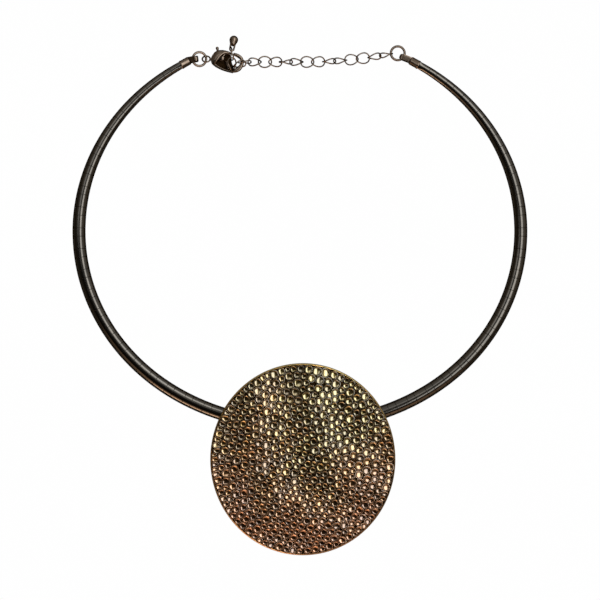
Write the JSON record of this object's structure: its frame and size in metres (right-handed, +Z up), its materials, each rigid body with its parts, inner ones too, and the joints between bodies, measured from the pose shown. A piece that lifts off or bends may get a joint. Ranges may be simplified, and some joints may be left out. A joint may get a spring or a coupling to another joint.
{
  "type": "collar necklace",
  "caption": "Rigid round-tube collar necklace with a bulging metal disc of small hollow cups in front and a lobster clasp on an extender chain at the back, lying flat",
  "frame": {"origin": "on the floor, under the middle of the whole necklace", "axes": "+X to the right in the picture, +Y from the disc to the clasp, +Z up, out of the disc's face"},
  "size_m": [0.1456, 0.1666, 0.0098],
  "materials": {
    "gunmetal": "dark plated, polished",
    "ombre_brass": "gold to copper plating with dark patina, polished",
    "bronze": "dark bronze plated, polished"
  },
  "bodies": {
    "necklace": {"collar": "gunmetal", "disc": "ombre_brass", "bail": "ombre_brass", "end_cap_right": "bronze", "end_cap_left": "bronze", "jump_ring_right": "bronze", "jump_ring_left": "bronze", "link_01": "bronze", "link_02": "bronze", "link_03": "bronze", "link_04": "bronze", "link_05": "bronze", "link_06": "bronze", "link_07": "bronze", "link_08": "bronze", "link_09": "bronze", "link_10": "bronze", "link_11": "bronze", "link_12": "bronze", "link_13": "bronze", "link_14": "bronze", "tail_link_1": "bronze", "tail_link_2": "bronze", "tail_link_3": "bronze", "end_drop": "bronze", "clasp_body": "bronze", "clasp_pin": "bronze", "clasp_spring": "bronze"},
    "lever": {"clasp_lever": "bronze"}
  },
  "joints": [
    {"name": "clasp_lever_swing", "type": "hinge", "parent": "necklace", "child": "lever", "pos_m": [-0.02509, 0.07599, 0.0015], "axis": [0, 0, -1], "range_deg": [0, 25], "stiffness_Nm_per_rad": 0.006, "springref_deg": -17.19}
  ]
}
